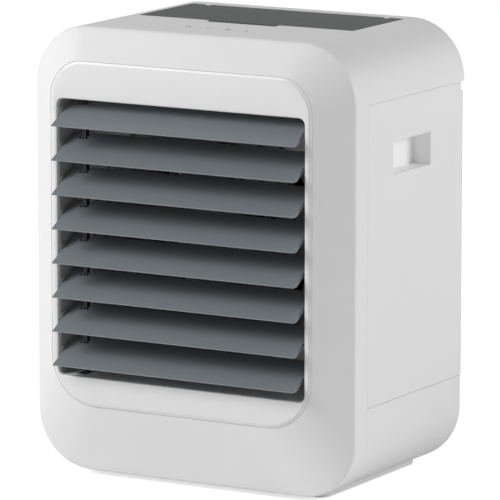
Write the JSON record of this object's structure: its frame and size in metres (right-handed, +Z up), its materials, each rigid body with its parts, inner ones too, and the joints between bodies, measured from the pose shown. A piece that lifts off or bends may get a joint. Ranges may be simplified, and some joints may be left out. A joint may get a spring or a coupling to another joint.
{
  "type": "desktop evaporative air cooler",
  "caption": "Desktop evaporative air cooler with a bevelled front, coupled tilting louvres, an axial fan, a lidded water tank and a slide-out rear filter cassette.",
  "frame": {"origin": "middle of the outer box, on the surface that the rubber feet stand on", "axes": "+Z up, +Y from the louvres towards the back, +X to the right when facing the louvres"},
  "size_m": [0.24, 0.1784, 0.2996],
  "materials": {
    "shell_white": "fine satin moulded plastic",
    "bezel_white": "satin moulded plastic",
    "foot_white": "satin moulded plastic",
    "louvre_grey": "satin moulded plastic",
    "duct_grey": "matt moulded plastic",
    "lid_grey": "fine-grained moulded plastic",
    "inner_white": "plain moulded plastic",
    "impeller_grey": "moulded plastic",
    "tank_clear": "smoky clear plastic",
    "silicone": "soft silicone",
    "rubber_grey": "matt rubber",
    "steel": "plated steel",
    "copper": "enamelled winding",
    "wick": "corrugated wetted paper",
    "screen": "woven mesh in a frame",
    "board_green": "printed circuit board",
    "black_plastic": "moulded socket",
    "ribbon": "flat flexible cable"
  },
  "bodies": {
    "case": {"main_shell": "shell_white", "base_shell": "shell_white", "bezel": "bezel_white", "foot_plate": "foot_white", "air_duct": "duct_grey", "fan_frame": "duct_grey", "bulkhead": "inner_white", "cassette_rails": "inner_white", "sump_tray": "inner_white", "drip_nozzles": "inner_white", "louvre_bushes": "inner_white", "water_tank": "tank_clear", "rubber_feet": "rubber_grey", "fan_guard": "steel", "fan_bearings": "steel", "touch_springs": "steel", "bulkhead_screws": "steel", "fan_screws": "steel", "board_screws": "steel", "foot_screws": "steel", "fan_stator": "copper", "control_board": "board_green", "main_board": "board_green", "dc_inlet": "black_plastic", "ribbon_cable": "ribbon"},
    "louvre_1_body": {"louvre_1": "louvre_grey"},
    "louvre_2_body": {"louvre_2": "louvre_grey"},
    "louvre_3_body": {"louvre_3": "louvre_grey"},
    "louvre_4_body": {"louvre_4": "louvre_grey"},
    "louvre_5_body": {"louvre_5": "louvre_grey"},
    "louvre_6_body": {"louvre_6": "louvre_grey"},
    "louvre_7_body": {"louvre_7": "louvre_grey"},
    "louvre_8_body": {"louvre_8": "louvre_grey"},
    "tie_bar_body": {"louvre_tie_bar": "duct_grey"},
    "rotor": {"impeller": "impeller_grey", "fan_shaft": "steel"},
    "lid": {"top_lid": "lid_grey", "lid_gasket": "silicone", "lid_pins": "steel"},
    "cassette": {"rear_cassette": "shell_white", "filter_frame": "inner_white", "filter_pad": "wick", "dust_screen": "screen", "drip_tray": "inner_white"}
  },
  "joints": [
    {"name": "louvre_1_tilt", "type": "hinge", "parent": "case", "child": "louvre_1_body", "pos_m": [0, -0.07225, 0.2444], "axis": [1, 0, 0], "range_deg": [-57.5, 2.5]},
    {"name": "louvre_2_tilt", "type": "hinge", "parent": "case", "child": "louvre_2_body", "pos_m": [0, -0.07225, 0.22174], "axis": [1, 0, 0], "range_deg": [-57.5, 2.5]},
    {"name": "louvre_3_tilt", "type": "hinge", "parent": "case", "child": "louvre_3_body", "pos_m": [0, -0.07225, 0.19908], "axis": [1, 0, 0], "range_deg": [-57.5, 2.5]},
    {"name": "louvre_4_tilt", "type": "hinge", "parent": "case", "child": "louvre_4_body", "pos_m": [0, -0.07225, 0.17642], "axis": [1, 0, 0], "range_deg": [-57.5, 2.5]},
    {"name": "louvre_5_tilt", "type": "hinge", "parent": "case", "child": "louvre_5_body", "pos_m": [0, -0.07225, 0.15376], "axis": [1, 0, 0], "range_deg": [-57.5, 2.5]},
    {"name": "louvre_6_tilt", "type": "hinge", "parent": "case", "child": "louvre_6_body", "pos_m": [0, -0.07225, 0.1311], "axis": [1, 0, 0], "range_deg": [-57.5, 2.5]},
    {"name": "louvre_7_tilt", "type": "hinge", "parent": "case", "child": "louvre_7_body", "pos_m": [0, -0.07225, 0.10844], "axis": [1, 0, 0], "range_deg": [-57.5, 2.5]},
    {"name": "louvre_8_tilt", "type": "hinge", "parent": "case", "child": "louvre_8_body", "pos_m": [0, -0.07225, 0.08578], "axis": [1, 0, 0], "range_deg": [-57.5, 2.5]},
    {"name": "tie_bar_pin", "type": "hinge", "parent": "louvre_1_body", "child": "tie_bar_body", "pos_m": [-0.08, -0.06295, 0.24924], "axis": [1, 0, 0], "range_deg": [-2.5, 57.5]},
    {"name": "fan_spin", "type": "hinge", "parent": "case", "child": "rotor", "pos_m": [0, -0.02725, 0.16195], "axis": [0, -1, 0], "continuous": true},
    {"name": "lid_hinge", "type": "hinge", "parent": "case", "child": "lid", "pos_m": [0, 0.07525, 0.2971], "axis": [-1, 0, 0], "range_deg": [0, 95]},
    {"name": "cassette_slide", "type": "slide", "parent": "case", "child": "cassette", "axis": [0, 1, 0], "range_m": [0, 0.14]}
  ],
  "couplings": [
    {"joint": "louvre_2_tilt", "follows": "louvre_1_tilt", "ratio": 1},
    {"joint": "louvre_3_tilt", "follows": "louvre_1_tilt", "ratio": 1},
    {"joint": "louvre_4_tilt", "follows": "louvre_1_tilt", "ratio": 1},
    {"joint": "louvre_5_tilt", "follows": "louvre_1_tilt", "ratio": 1},
    {"joint": "louvre_6_tilt", "follows": "louvre_1_tilt", "ratio": 1},
    {"joint": "louvre_7_tilt", "follows": "louvre_1_tilt", "ratio": 1},
    {"joint": "louvre_8_tilt", "follows": "louvre_1_tilt", "ratio": 1},
    {"joint": "tie_bar_pin", "follows": "louvre_1_tilt", "ratio": -1}
  ]
}
